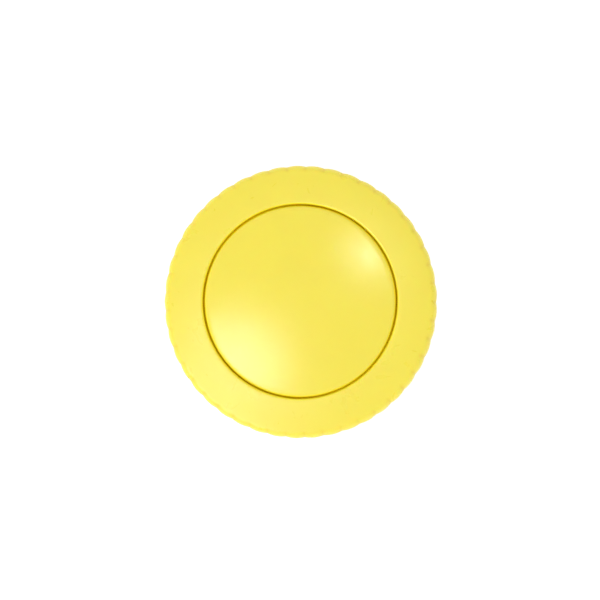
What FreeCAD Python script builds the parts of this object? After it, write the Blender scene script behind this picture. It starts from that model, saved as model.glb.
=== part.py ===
import FreeCAD, Part
import math
import os

# Round console dive computer, lying on its display. Millimetres.
# The origin is the centre of the bezel's rim plane, +Z goes out through the battery hatch,
# +Y is twelve o'clock of the display.

# ---- Driving sizes -------------------------------------------------------------------------

# Locking ring, the widest piece
ring_outer_r = 34.0
scallop_count = 45
scallop_depth = 0.26
first_crest_angle = 3.75
ring_face_width = 9.8
ring_crown_r = 66.0
ring_crown_center_inside_lip = 3.5
ring_edge_r = 1.9
lip_edge_r = 0.5
ring_lip_t = 2.0
ring_wall = 2.44
ring_foot_chamfer = 0.4

# Thread between the ring and the neck of the case
thread_starts = 4
thread_pitch = 1.5
thread_depth = 1.2
thread_radial_gap = 0.3
thread_flank_gap = 0.15
thread_root_half = 0.50
thread_crest_half = 0.18
thread_end_gap = 0.3

# Battery door
face_gap = 0.4
door_edge_r = 1.0
door_crown = 1.0
door_edge_above_lip = 0.1
door_roof_t = 2.0
door_flange_t = 1.6
door_flange_overlap = 3.0
door_skirt_len = 5.4
door_skirt_wall = 2.75
skirt_lead_in = 0.4
door_slide_gap = 0.1
bore_beyond_face = 0.45

# Key that stops the door from turning
key_w = 3.0
key_h = 0.8
key_l = 1.4
key_gap = 0.15

# Glide washer and keeper ring
glide_t = 0.36
glide_gap = 0.02
glide_inset = 0.4
throat_gap = 0.3
keeper_t = 0.7
keeper_w = 1.8
keeper_gap = 0.1
keeper_catch = 0.4
keeper_split_deg = 20.0
keeper_shelf_t = 0.65

# Case
case_inset = 1.0
case_edge_r = 0.6
case_wall = 5.5
ring_foot_gap = 0.6
neck_land_w = 2.25
neck_land_h = 1.9
neck_step_gap = 0.2
front_bay_depth = 9.0
bulkhead_t = 2.0
battery_bay_depth = 6.9

# Front shell and bezel
bezel_t = 3.2
bezel_chamfer = 1.2
bezel_w = 6.4
flange_t = 1.8
face_recess = 1.2
shell_plate_t = 3.2
plate_fit_gap = 0.2
spigot_len = 5.0
spigot_wall = 2.5
spigot_gap = 0.2
window_inset = 4.4
window_t = 2.0
window_fit_gap = 0.1
window_chamfer = 0.3
gasket_t = 0.3
gasket_w = 1.5

# O-rings of the door and the front shell: cord, and the room round it in the groove
seal_cord_d = 1.2
seal_groove_spare_depth = 0.1
seal_groove_spare_w = 0.5
seal_nest_gap = 0.03
door_groove_from_foot = 1.75
case_groove_from_flange = 1.65

# Case screws and their brass inserts
case_screw_count = 6
screw_shank_r = 1.0
screw_head_r = 1.9
screw_head_h = 1.3
screw_head_sunk = 0.5
screw_hole_gap = 0.15
screw_len = 9.0
drive_r = 0.75
drive_depth = 0.7
insert_r = 1.6
insert_len = 6.0
insert_sunk = 0.2

# Buttons
button_l = 12.0
button_w = 5.6
button_between = 4.6
button_from_plate_edge = 8.5
button_pad_t = 1.2
button_edge_r = 0.4
button_proud = 0.5
button_fit_gap = 0.2
button_travel = 0.9
button_travel_spare = 0.1
stem_r = 1.8
stem_gap = 0.1
stem_end_gap = 0.02
boss_len = 3.2
boss_wall = 1.1
stem_cord_d = 0.9
stem_groove_w = 1.1
stem_groove_from_spring = 0.5
clip_t = 0.3
clip_beyond_stem = 1.1
clip_mouth = 1.6
clip_bite = 0.5
clip_gap = 0.1
stem_past_clip = 0.5
spring_wire_r = 0.22
spring_from_stem = 0.7
spring_half_turns = 5
spring_pocket_gap = 0.38
spring_pocket_depth = 1.5
spring_end_gap = 0.02

# Display
view_l = 27.0
view_w = 21.0
view_y = 1.6
view_corner_r = 2.0
lcd_border = 1.5
lcd_t = 1.9
backlight_t = 1.2
backlight_short = 2.6
lcd_frame_wall = 1.4
lcd_frame_t = 5.0
lcd_fit_gap = 0.1
zebra_w = 1.6
zebra_from_edge = 0.2

# Main board
board_t = 1.0
board_edge_gap = 3.1
dome_h = 0.98
dome_pad = 4.5
board_screw_count = 3
board_screw_from_edge = 2.9
board_post_r = 2.2
board_screw_r = 0.8
board_screw_head_r = 1.5
board_screw_head_h = 0.6
board_screw_len = 2.4
chip_x = -12.0
chip_y = 8.0
chip_w = 7.0
chip_t = 0.9
crystal_y = 1.5
crystal_l = 6.0
crystal_w = 2.4
crystal_t = 1.1
capacitor_count = 5
capacitor_pitch = 2.0
capacitor_y = -4.0

# Depth sensor in the side wall at six o'clock
sensor_r = 3.0
sensor_len = 2.6
sensor_fit_gap = 0.1
sensor_cord_d = 0.8
sensor_below_wire = 1.9
sensor_cover_r = 3.8
sensor_cover_t = 1.1
sensor_cover_sunk = 0.3
sensor_cover_gap = 0.1
sensor_hole_r = 0.45
sensor_hole_ring_r = 2.1
sensor_hole_count = 6
sensor_wire_hole_r = 0.9
flex_w = 1.2
flex_t = 0.2
flex_on_board = 2.0

# Water contact studs in the side wall
stud_angle = -30.0
stud_spread = 7.5
stud_below_bulkhead = 2.2
stud_head_r = 1.6
stud_head_l = 0.9
stud_shank_r = 0.8
stud_sunk = 0.15
stud_cord_d = 0.6
stud_inner_l = 1.6

# Battery bay
cell_r = 12.25
cell_t = 5.0
cell_lift = 0.4
cell_fit_gap = 0.3
tray_t = 1.2
tray_wall = 1.25
tray_wall_h = 3.3
tray_edge_gap = 0.8
tray_notch_w = 9.0
tray_screw_from_wall = 3.2
tray_screw_head_h = 0.9
tray_screw_spare = 0.6
pin_from_wall = 1.2
contact_t = 0.2
contact_w = 4.0
pin_r = 0.5
pad_r = 10.0
pad_gap = 0.12
buzzer_x = -8.0
buzzer_y = 10.5
buzzer_r = 8.0
buzzer_t = 0.4
buzzer_ceramic_r = 6.0
buzzer_ceramic_t = 0.2

# Depth by which one shape reaches into another that it is joined to, and past what it cuts
BITE = 0.2
OVERCUT = 1.0

# ---- Heights, from the bezel's rim upwards -------------------------------------------------

case_z = bezel_t + flange_t
bulkhead_z = case_z + front_bay_depth
bay_floor_z = bulkhead_z + bulkhead_t
neck_rim_z = bay_floor_z + battery_bay_depth
neck_step_z = neck_rim_z - neck_land_h
ring_foot_z = bulkhead_z + ring_foot_gap
flange_top_z = neck_rim_z + door_flange_t
lip_under_z = flange_top_z + glide_t + 2 * glide_gap
lip_top_z = lip_under_z + ring_lip_t
door_edge_z = lip_top_z + door_edge_above_lip
skirt_foot_z = neck_rim_z - door_skirt_len
plate_top_z = face_recess + shell_plate_t
spigot_top_z = case_z + spigot_len

# ---- Radii, from the ring's crests inwards -------------------------------------------------

scallop_valley_r = ring_outer_r - scallop_depth
lip_r = ring_outer_r - ring_face_width
door_face_r = lip_r - face_gap
bore_r = door_face_r + bore_beyond_face
skirt_r = bore_r - door_slide_gap
skirt_inner_r = skirt_r - door_skirt_wall
door_flange_r = lip_r + door_flange_overlap
nut_root_r = scallop_valley_r - ring_wall
nut_crest_r = nut_root_r - thread_depth
neck_crest_r = nut_root_r - thread_radial_gap
neck_root_r = neck_crest_r - thread_depth
neck_land_r = bore_r + neck_land_w
keeper_inner_r = door_flange_r - keeper_catch
keeper_outer_r = keeper_inner_r + keeper_w
case_r = ring_outer_r - case_inset
front_bore_r = case_r - case_wall
spigot_r = front_bore_r - spigot_gap
spigot_inner_r = spigot_r - spigot_wall
bezel_inner_r = case_r - bezel_w
plate_r = bezel_inner_r - plate_fit_gap
window_r = plate_r - window_inset
screw_circle_r = front_bore_r + case_wall / 2
board_r = front_bore_r - board_edge_gap

# ---- Places that several pieces share ------------------------------------------------------

thread_lead = thread_starts * thread_pitch
seal_groove_depth = seal_cord_d + seal_groove_spare_depth
seal_groove_w = seal_cord_d + seal_groove_spare_w
button_x = (button_l + button_between) / 2
button_y = button_from_plate_edge - plate_r
spring_r = stem_r + spring_from_stem
spring_pocket_r = spring_r + spring_wire_r + spring_pocket_gap
clip_r = stem_r + clip_beyond_stem
button_pad_z = face_recess - button_proud
pocket_floor_z = button_pad_z + button_pad_t + button_travel + button_travel_spare
spring_floor_z = pocket_floor_z + spring_pocket_depth
boss_top_z = spring_floor_z + boss_len
clip_z = boss_top_z + clip_gap
stem_top_z = clip_z + clip_t + stem_past_clip
board_z = stem_top_z + button_travel + stem_end_gap + dome_h
board_top_z = board_z + board_t
stem_groove_r = stem_r + stem_gap - stem_cord_d - 2 * seal_nest_gap
window_chord_y = button_y + button_w / 2 + 2 * window_fit_gap + gasket_w
case_screw_tip_z = screw_head_sunk + screw_head_h + screw_len
lcd_l = view_l + 2 * lcd_border
lcd_w = view_w + 2 * lcd_border
wire_z = board_top_z + flex_t / 2
sensor_z = wire_z - sensor_below_wire
cell_z = bay_floor_z + tray_t + cell_lift
tray_inner_r = cell_r + cell_fit_gap
tray_screw_y = tray_inner_r + tray_wall + tray_screw_from_wall
positive_pin_x = tray_inner_r + tray_wall + pin_from_wall

ORIGIN = FreeCAD.Vector(0, 0, 0)
UP = FreeCAD.Vector(0, 0, 1)


# ---- Helpers -------------------------------------------------------------------------------

def in_section(point):
    """A (radius, height) point as a vector in the XZ plane."""
    return FreeCAD.Vector(point[0], 0, point[1])


def section_face(points):
    """Face in the XZ plane; a third value marks a point as the middle of an arc."""
    edges = []
    for index, here in enumerate(points):
        if len(here) == 3:
            continue
        after = points[(index + 1) % len(points)]
        if len(after) == 3:
            end = points[(index + 2) % len(points)]
            arc = Part.Arc(in_section(here), in_section(after), in_section(end))
            edges.append(arc.toShape())
        else:
            edges.append(Part.LineSegment(in_section(here), in_section(after)).toShape())
    return Part.Face(Part.Wire(edges))


def turned(points):
    """Solid of revolution about Z from a section."""
    return section_face(points).revolve(ORIGIN, UP, 360)


def tube(inner_r, outer_r, low_z, high_z):
    """Plain ring with square edges."""
    return turned([(inner_r, low_z), (outer_r, low_z), (outer_r, high_z), (inner_r, high_z)])


def disc(radius, low_z, high_z, x=0.0, y=0.0):
    """Cylinder standing along Z."""
    return Part.makeCylinder(radius, high_z - low_z, FreeCAD.Vector(x, y, low_z), UP)


def block(length, width, low_z, high_z, x=0.0, y=0.0):
    """Box centred on x, y."""
    corner = FreeCAD.Vector(x - length / 2, y - width / 2, low_z)
    return Part.makeBox(length, width, high_z - low_z, corner)


def rounded_block(length, width, corner_r, low_z, high_z, x=0.0, y=0.0):
    """Box whose four upright edges are rounded."""
    plain = block(length, width, low_z, high_z, x, y)
    upright = [edge for edge in plain.Edges if abs(edge.tangentAt(edge.FirstParameter).z) > 0.5]
    return plain.makeFillet(corner_r, upright)


def torus(ring_r, cord_r, z, x=0.0, y=0.0):
    """O-ring lying flat."""
    return Part.makeTorus(ring_r, cord_r, FreeCAD.Vector(x, y, z), UP)


def around(shape, count, start_deg=0.0):
    """Copies of a shape, evenly spaced about Z."""
    copies = []
    for index in range(count):
        copy = shape.copy()
        copy.rotate(ORIGIN, UP, start_deg + 360.0 * index / count)
        copies.append(copy)
    return copies


def mirrored_x(shape):
    """Copy of a shape on the other side of the YZ plane."""
    return shape.mirror(ORIGIN, FreeCAD.Vector(1, 0, 0))


def radial(shape, angle_deg, z):
    """Lays a shape that stands along Z out along a radius, at one height."""
    laid = shape.copy()
    laid.rotate(ORIGIN, FreeCAD.Vector(0, 1, 0), 90)
    laid.rotate(ORIGIN, UP, angle_deg)
    laid.translate(FreeCAD.Vector(0, 0, z))
    return laid


def circle_edges(shape, radius, z):
    """Full circles of one radius about Z at one height."""
    found = []
    for edge in shape.Edges:
        curve = edge.Curve
        if curve.TypeId != "Part::GeomCircle":
            continue
        same_r = abs(curve.Radius - radius) < 1e-4
        same_z = abs(curve.Center.z - z) < 1e-4
        if same_r and same_z and math.hypot(curve.Center.x, curve.Center.y) < 1e-4:
            found.append(edge)
    return found


def edge_round(crown_center, crown_r, edge_r, wall_r, side):
    """Where an edge of radius edge_r leaves the crown arc, its middle, and where it meets the wall.

    side is 1 for a wall outside the crown and -1 for a wall inside it.
    """
    round_r = wall_r - side * edge_r
    across = round_r - crown_center[0]
    reach = crown_r - edge_r
    round_z = crown_center[1] + math.sqrt(reach ** 2 - across ** 2)
    lean = math.asin(across / reach)
    on_crown = (crown_center[0] + crown_r * math.sin(lean), crown_center[1] + crown_r * math.cos(lean))
    half_way = (lean + side * math.pi / 2) / 2
    middle = (round_r + edge_r * math.sin(half_way), round_z + edge_r * math.cos(half_way), "arc")
    on_wall = (wall_r, round_z)
    return on_crown, middle, on_wall


def thread_ridges(base_r, tip_r, base_half, tip_half, low_z, high_z, phase_z):
    """Helical ridges from base_r to tip_r, one per start, with both ends chamfered off."""
    outward = 1.0 if tip_r > base_r else -1.0
    root_r = base_r - outward * BITE
    beyond_r = tip_r + outward * BITE
    slope = (base_half - tip_half) / abs(tip_r - base_r)
    root_half = base_half + slope * BITE
    beyond_half = tip_half - slope * BITE
    start_z = low_z - thread_pitch
    height = high_z - low_z + 2 * thread_pitch
    corners = [
        (root_r, start_z - root_half),
        (beyond_r, start_z - beyond_half),
        (beyond_r, start_z + beyond_half),
        (root_r, start_z + root_half),
    ]
    outline = section_face(corners).OuterWire
    path = Part.makeLongHelix(thread_lead, height, base_r)
    path.translate(FreeCAD.Vector(0, 0, start_z))
    ridge = Part.Wire(path.Edges).makePipeShell([outline], True, True)
    ridge.rotate(ORIGIN, UP, 360.0 * (start_z - phase_z) / thread_lead)
    run_in = abs(tip_r - base_r)
    band = turned([
        (root_r, low_z),
        (base_r, low_z),
        (tip_r, low_z + run_in),
        (tip_r, high_z - run_in),
        (base_r, high_z),
        (root_r, high_z),
    ])
    return [band.common(one) for one in around(ridge, thread_starts)]


# ---- Locking ring and what holds it to the door --------------------------------------------

def scalloped_prism(low_z, high_z):
    """Prism whose outline is a circle of shallow convex scallops."""
    step = 2 * math.pi / scallop_count
    first_valley = math.radians(first_crest_angle) - step / 2
    edges = []
    for index in range(scallop_count):
        points = []
        for part, radius in ((0.0, scallop_valley_r), (0.5, ring_outer_r), (1.0, scallop_valley_r)):
            angle = first_valley + (index + part) * step
            points.append(FreeCAD.Vector(radius * math.cos(angle), radius * math.sin(angle), low_z))
        edges.append(Part.Arc(*points).toShape())
    return Part.Face(Part.Wire(edges)).extrude(FreeCAD.Vector(0, 0, high_z - low_z))


def locking_ring():
    crown_center_r = lip_r - ring_crown_center_inside_lip
    lip_from_center = lip_r + lip_edge_r - crown_center_r
    reach = ring_crown_r - lip_edge_r
    crown_z = lip_top_z - lip_edge_r - math.sqrt(reach ** 2 - lip_from_center ** 2)
    crown_center = (crown_center_r, crown_z)
    lip_top, lip_mid, lip_wall = edge_round(crown_center, ring_crown_r, lip_edge_r, lip_r, -1)
    rim_top, rim_mid, rim_wall = edge_round(crown_center, ring_crown_r, ring_edge_r, ring_outer_r, 1)
    half_way_r = (lip_top[0] + rim_top[0]) / 2
    half_way_rise = math.sqrt(ring_crown_r ** 2 - (half_way_r - crown_center_r) ** 2)
    crown_mid = (half_way_r, crown_z + half_way_rise, "arc")
    throat_r = door_flange_r + throat_gap
    shelf_z = neck_step_z + neck_step_gap
    groove_low_z = shelf_z + keeper_shelf_t
    groove_high_z = groove_low_z + keeper_t + 2 * keeper_gap
    groove_r = keeper_outer_r + keeper_gap
    foot_out_r = ring_outer_r - ring_foot_chamfer
    foot_in_r = nut_root_r + thread_end_gap
    body = turned([
        (lip_r, lip_under_z), lip_wall, lip_mid, lip_top, crown_mid, rim_top, rim_mid, rim_wall,
        (ring_outer_r, ring_foot_z + ring_foot_chamfer), (foot_out_r, ring_foot_z),
        (foot_in_r, ring_foot_z), (nut_root_r, ring_foot_z + thread_end_gap),
        (nut_root_r, shelf_z), (throat_r, shelf_z),
        (throat_r, groove_low_z), (groove_r, groove_low_z),
        (groove_r, groove_high_z), (throat_r, groove_high_z), (throat_r, lip_under_z),
    ])
    body = body.common(scalloped_prism(ring_foot_z - OVERCUT, lip_top_z + OVERCUT))
    crest_half = nut_half_width(nut_crest_r)
    root_half = nut_half_width(nut_root_r)
    low_z = ring_foot_z + thread_end_gap
    high_z = shelf_z - thread_end_gap
    phase_z = thread_pitch / 2
    ridges = thread_ridges(nut_root_r, nut_crest_r, root_half, crest_half, low_z, high_z, phase_z)
    return body.fuse(ridges)


def nut_half_width(radius):
    """Half the width of the ring's ridge, so that its flanks clear the neck's by the flank gap."""
    slope = (thread_root_half - thread_crest_half) / thread_depth
    neck_half = thread_root_half - slope * (radius - neck_root_r)
    return thread_pitch / 2 - thread_flank_gap - neck_half


def keeper_ring():
    shelf_z = neck_step_z + neck_step_gap
    low_z = shelf_z + keeper_shelf_t + keeper_gap
    ring = tube(keeper_inner_r, keeper_outer_r, low_z, low_z + keeper_t)
    wedge = Part.makeCylinder(
        keeper_outer_r + OVERCUT, keeper_t + 2 * OVERCUT,
        FreeCAD.Vector(0, 0, low_z - OVERCUT), UP, keeper_split_deg)
    wedge.rotate(ORIGIN, UP, 45)
    return ring.cut(wedge)


def glide_washer():
    low_z = flange_top_z + glide_gap
    return tube(lip_r + glide_inset, door_flange_r, low_z, low_z + glide_t)


# ---- Battery door ---------------------------------------------------------------------------

def door_groove():
    """Low and high edges of the O-ring groove in the door's skirt, and its floor radius."""
    low_z = skirt_foot_z + door_groove_from_foot
    return low_z, low_z + seal_groove_w, bore_r - seal_groove_depth


def door_key():
    """Key under the door's flange at twelve o'clock."""
    outer_r = neck_land_r - key_gap
    return block(key_w, key_l, neck_rim_z - key_h, neck_rim_z + BITE, 0, outer_r - key_l / 2)


def key_slot():
    """Cut across the neck's rim that the key drops into."""
    length = neck_land_w + 2 * OVERCUT
    low_z = neck_rim_z - key_h - key_gap
    middle_y = bore_r + neck_land_w / 2
    return block(key_w + 2 * key_gap, length, low_z, neck_rim_z + OVERCUT, 0, middle_y)


def battery_door():
    sphere_r = (door_face_r ** 2 + door_crown ** 2) / (2 * door_crown)
    crown_center = (0.0, door_edge_z + door_crown - sphere_r)
    edge_top, edge_mid, edge_wall = edge_round(crown_center, sphere_r, door_edge_r, door_face_r, 1)
    half_lean = math.asin(edge_top[0] / sphere_r) / 2
    crown_mid = (sphere_r * math.sin(half_lean), crown_center[1] + sphere_r * math.cos(half_lean), "arc")
    low_z, high_z, floor_r = door_groove()
    roof_z = door_edge_z - door_roof_t
    body = turned([
        (0, door_edge_z + door_crown), crown_mid, edge_top, edge_mid, edge_wall,
        (door_face_r, flange_top_z), (door_flange_r, flange_top_z), (door_flange_r, neck_rim_z),
        (skirt_r, neck_rim_z), (skirt_r, high_z), (floor_r, high_z), (floor_r, low_z),
        (skirt_r, low_z), (skirt_r, skirt_foot_z + skirt_lead_in), (skirt_r - skirt_lead_in, skirt_foot_z),
        (skirt_inner_r, skirt_foot_z), (skirt_inner_r, roof_z), (0, roof_z),
    ])
    return body.fuse(door_key()).removeSplitter()


def door_o_ring():
    low_z, high_z, floor_r = door_groove()
    return torus(floor_r + seal_nest_gap + seal_cord_d / 2, seal_cord_d / 2, (low_z + high_z) / 2)


def door_pad():
    return disc(pad_r, cell_z + cell_t + pad_gap + contact_t, door_edge_z - door_roof_t)


# ---- Case -----------------------------------------------------------------------------------

def screw_places():
    """Centres of the case screws."""
    places = []
    for index in range(case_screw_count):
        angle = 2 * math.pi * index / case_screw_count
        places.append((screw_circle_r * math.cos(angle), screw_circle_r * math.sin(angle)))
    return places


def board_post_places():
    """Centres of the posts that carry the main board."""
    radius = board_r - board_screw_from_edge
    places = []
    for index in range(board_screw_count):
        angle = math.pi / 2 + 2 * math.pi * index / board_screw_count
        places.append((radius * math.cos(angle), radius * math.sin(angle)))
    return places


def stud_angles():
    """Directions of the two water contact studs."""
    return [stud_angle - stud_spread, stud_angle + stud_spread]


def stud_seat_r():
    """Distance from the axis to the shoulder under a stud's head."""
    return case_r - stud_sunk - stud_head_l


def sensor_seat_y():
    """Distance from the axis to the sensor's back face."""
    return case_r - sensor_cover_sunk - sensor_cover_t - sensor_len


def pin_places():
    """Centres of the two pins that carry the battery's current through the bulkhead."""
    return [(0.0, 0.0), (positive_pin_x, 0.0)]


def main_case():
    body = turned([
        (0, bulkhead_z), (front_bore_r, bulkhead_z), (front_bore_r, case_z), (case_r, case_z),
        (case_r, bulkhead_z), (neck_root_r, bulkhead_z), (neck_root_r, neck_step_z),
        (neck_land_r, neck_step_z), (neck_land_r, neck_rim_z), (bore_r, neck_rim_z),
        (bore_r, bay_floor_z), (0, bay_floor_z),
    ])
    body = body.makeFillet(case_edge_r, circle_edges(body, case_r, bulkhead_z))
    low_z = bulkhead_z + thread_end_gap
    high_z = neck_step_z - thread_end_gap
    ridges = thread_ridges(
        neck_root_r, neck_crest_r, thread_root_half, thread_crest_half, low_z, high_z, 0.0)
    posts = [disc(board_post_r, board_top_z, bulkhead_z + BITE, x, y) for x, y in board_post_places()]
    body = body.fuse(ridges + posts)
    cuts = [key_slot()]
    for x, y in screw_places():
        cuts.append(disc(insert_r, case_z - OVERCUT, case_z + insert_sunk + insert_len, x, y))
        cuts.append(disc(screw_shank_r, case_z, case_screw_tip_z + BITE, x, y))
    for x, y in board_post_places():
        cuts.append(disc(board_screw_r, board_top_z - OVERCUT, board_top_z + board_screw_len, x, y))
    for x, y in tray_screw_places():
        cuts.append(disc(board_screw_r, bay_floor_z - tray_screw_bite(), bay_floor_z + OVERCUT, x, y))
    for x, y in pin_places():
        cuts.append(disc(pin_r, bulkhead_z - OVERCUT, bay_floor_z + OVERCUT, x, y))
    cuts.extend(sensor_pocket())
    for angle in stud_angles():
        cuts.extend(stud_pocket(angle))
    return body.cut(cuts)


def case_screws():
    screws = []
    head_top_z = screw_head_sunk + screw_head_h
    for x, y in screw_places():
        head = disc(screw_head_r, screw_head_sunk, head_top_z, x, y)
        shank = disc(screw_shank_r, head_top_z, case_screw_tip_z, x, y)
        socket = hexagon(drive_r, screw_head_sunk, screw_head_sunk + drive_depth, x, y)
        screws.append(head.fuse(shank).cut(socket).removeSplitter())
    return Part.makeCompound(screws)


def hexagon(across_r, low_z, high_z, x, y):
    """Upright hexagonal prism for a key socket."""
    corners = []
    for index in range(7):
        angle = math.pi / 3 * index
        corners.append(FreeCAD.Vector(x + across_r * math.cos(angle), y + across_r * math.sin(angle), low_z))
    return Part.Face(Part.makePolygon(corners)).extrude(FreeCAD.Vector(0, 0, high_z - low_z))


def screw_inserts():
    low_z = case_z + insert_sunk
    inserts = []
    for x, y in screw_places():
        sleeve = disc(insert_r, low_z, low_z + insert_len, x, y)
        inserts.append(sleeve.cut(disc(screw_shank_r, low_z, low_z + insert_len, x, y)))
    return Part.makeCompound(inserts)


# ---- Front shell, bezel and window ----------------------------------------------------------

def window_prism(radius, chord_y, low_z, high_z):
    """Disc with its six o'clock side cut off straight."""
    full = disc(radius, low_z, high_z)
    below = block(4 * radius, 2 * radius, low_z - OVERCUT, high_z + OVERCUT, 0, chord_y - radius)
    return full.cut(below)


def front_shell():
    groove_low_z = case_z + case_groove_from_flange
    groove_high_z = groove_low_z + seal_groove_w
    floor_r = front_bore_r - seal_groove_depth
    body = turned([
        (0, face_recess), (plate_r, face_recess), (plate_r, bezel_t), (case_r, bezel_t),
        (case_r, case_z), (spigot_r, case_z), (spigot_r, groove_low_z), (floor_r, groove_low_z),
        (floor_r, groove_high_z), (spigot_r, groove_high_z), (spigot_r, spigot_top_z),
        (spigot_inner_r, spigot_top_z), (spigot_inner_r, plate_top_z), (0, plate_top_z),
    ])
    bosses = []
    cuts = []
    pocket_z = face_recess - OVERCUT
    for x in (-button_x, button_x):
        bosses.append(disc(spring_pocket_r + boss_wall, plate_top_z - BITE, boss_top_z, x, button_y))
        length = button_l + 2 * button_fit_gap
        width = button_w + 2 * button_fit_gap
        cuts.append(rounded_block(length, width, width / 2 - 0.01, pocket_z, pocket_floor_z, x, button_y))
        cuts.append(disc(spring_pocket_r, pocket_z, spring_floor_z, x, button_y))
        cuts.append(disc(stem_r + stem_gap, pocket_z, boss_top_z + OVERCUT, x, button_y))
    for x, y in screw_places():
        cuts.append(disc(screw_shank_r + screw_hole_gap, bezel_t - OVERCUT, case_z + OVERCUT, x, y))
    seat_r = window_r + window_fit_gap
    seat_chord_y = window_chord_y - window_fit_gap
    cuts.append(window_prism(seat_r, seat_chord_y, pocket_z, face_recess + window_t + gasket_t))
    cuts.append(rounded_block(view_l, view_w, view_corner_r, pocket_z, plate_top_z + OVERCUT, 0, view_y))
    return body.fuse(bosses).cut(cuts).removeSplitter()


def bezel_ring():
    body = turned([
        (bezel_inner_r, bezel_chamfer / 2), (bezel_inner_r + bezel_chamfer / 2, 0),
        (case_r - bezel_chamfer, 0), (case_r, bezel_chamfer), (case_r, bezel_t),
        (bezel_inner_r, bezel_t),
    ])
    cuts = []
    for x, y in screw_places():
        sunk_z = screw_head_sunk + screw_head_h
        cuts.append(disc(screw_head_r + screw_hole_gap, -OVERCUT, sunk_z, x, y))
        cuts.append(disc(screw_shank_r + screw_hole_gap, -OVERCUT, bezel_t + OVERCUT, x, y))
    return body.cut(cuts).removeSplitter()


def display_window():
    body = window_prism(window_r, window_chord_y, face_recess, face_recess + window_t)
    outer = [edge for edge in body.Edges if abs(edge.CenterOfMass.z - face_recess) < 1e-4]
    return body.makeChamfer(window_chamfer, outer)


def window_gasket():
    low_z = face_recess + window_t
    outer = window_prism(window_r, window_chord_y, low_z, low_z + gasket_t)
    hole = window_prism(window_r - gasket_w, window_chord_y + gasket_w, low_z, low_z + gasket_t)
    return outer.cut(hole)


def case_o_ring():
    middle_z = case_z + case_groove_from_flange + seal_groove_w / 2
    ring_r = front_bore_r - seal_groove_depth + seal_nest_gap + seal_cord_d / 2
    return torus(ring_r, seal_cord_d / 2, middle_z)


# ---- Display and main board -----------------------------------------------------------------

def lcd_panel():
    return block(lcd_l, lcd_w, plate_top_z, plate_top_z + lcd_t, 0, view_y)


def lcd_backlight():
    low_z = plate_top_z + lcd_t
    return block(lcd_l, lcd_w - 2 * backlight_short, low_z, low_z + backlight_t, 0, view_y)


def lcd_frame():
    inner_l = lcd_l + 2 * lcd_fit_gap
    inner_w = lcd_w + 2 * lcd_fit_gap
    outer_l = inner_l + 2 * lcd_frame_wall
    outer_w = inner_w + 2 * lcd_frame_wall
    high_z = plate_top_z + lcd_frame_t
    frame = rounded_block(outer_l, outer_w, lcd_frame_wall, plate_top_z, high_z, 0, view_y)
    return frame.cut(block(inner_l, inner_w, plate_top_z, high_z, 0, view_y))


def zebra_strips():
    from_center = lcd_w / 2 - zebra_w / 2 - zebra_from_edge
    strips = []
    for side in (-1, 1):
        y = view_y + side * from_center
        strips.append(block(view_l, zebra_w, plate_top_z + lcd_t, board_z, 0, y))
    return Part.makeCompound(strips)


def main_board():
    board = disc(board_r, board_z, board_top_z)
    holes = [disc(board_screw_r, board_z, board_top_z, x, y) for x, y in board_post_places()]
    return board.cut(holes)


def microcontroller():
    return block(chip_w, chip_w, board_top_z, board_top_z + chip_t, chip_x, chip_y)


def crystal_can():
    corner_r = crystal_w / 2 - 0.1
    high_z = board_top_z + crystal_t
    return rounded_block(crystal_l, crystal_w, corner_r, board_top_z, high_z, chip_x, crystal_y)


def board_capacitors():
    row = []
    for step in range(capacitor_count):
        x = chip_x + capacitor_pitch * (step - (capacitor_count - 1) / 2)
        row.append(block(1.0, 1.8, board_top_z, board_top_z + 0.8, x, capacitor_y))
    return Part.makeCompound(row)


def dome_switches():
    low_z = board_z - dome_h
    switches = []
    for x in (-button_x, button_x):
        base = block(dome_pad, dome_pad, board_z - 0.5, board_z, x, button_y)
        button = Part.makeCone(1.1, 1.6, dome_h - 0.5, FreeCAD.Vector(x, button_y, low_z), UP)
        switches.append(base.fuse(button).removeSplitter())
    return Part.makeCompound(switches)


def board_screws():
    screws = []
    for x, y in board_post_places():
        head = disc(board_screw_head_r, board_z - board_screw_head_h, board_z, x, y)
        shank = disc(board_screw_r, board_z, board_top_z + board_screw_len, x, y)
        screws.append(head.fuse(shank).removeSplitter())
    return Part.makeCompound(screws)


def buzzer_disc():
    plate_z = bulkhead_z - buzzer_t
    plate = disc(buzzer_r, plate_z, bulkhead_z, buzzer_x, buzzer_y)
    return plate.fuse(disc(buzzer_ceramic_r, plate_z - buzzer_ceramic_t, plate_z, buzzer_x, buzzer_y))


# ---- Depth sensor and water contacts --------------------------------------------------------

def sensor_pocket():
    """Cuts for the sensor: its bore, the cover's seat and the wire hole into the front bay."""
    back = sensor_seat_y()
    cover_back = back + sensor_len
    bore = radial(disc(sensor_r + sensor_fit_gap, back, case_r + OVERCUT), -90, sensor_z)
    seat = radial(disc(sensor_cover_r + sensor_cover_gap, cover_back, case_r + OVERCUT), -90, sensor_z)
    wires = radial(disc(sensor_wire_hole_r, front_bore_r - OVERCUT, back + OVERCUT), -90, wire_z)
    return [bore, seat, wires]


def depth_sensor():
    back = sensor_seat_y()
    groove_r = sensor_r + sensor_fit_gap - sensor_cord_d - 2 * seal_nest_gap
    body = disc(sensor_r, back, back + sensor_len - 0.3)
    middle = back + sensor_len * 0.45
    half = sensor_cord_d / 2 + 0.1
    groove = tube(groove_r, sensor_r + OVERCUT, middle - half, middle + half)
    dimple = disc(1.4, back + sensor_len - 0.7, back + sensor_len)
    return radial(body.cut([groove, dimple]), -90, sensor_z)


def sensor_o_ring():
    groove_r = sensor_r + sensor_fit_gap - sensor_cord_d - 2 * seal_nest_gap
    cord_r = sensor_cord_d / 2
    middle = sensor_seat_y() + sensor_len * 0.45
    return radial(torus(groove_r + seal_nest_gap + cord_r, cord_r, middle), -90, sensor_z)


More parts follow.
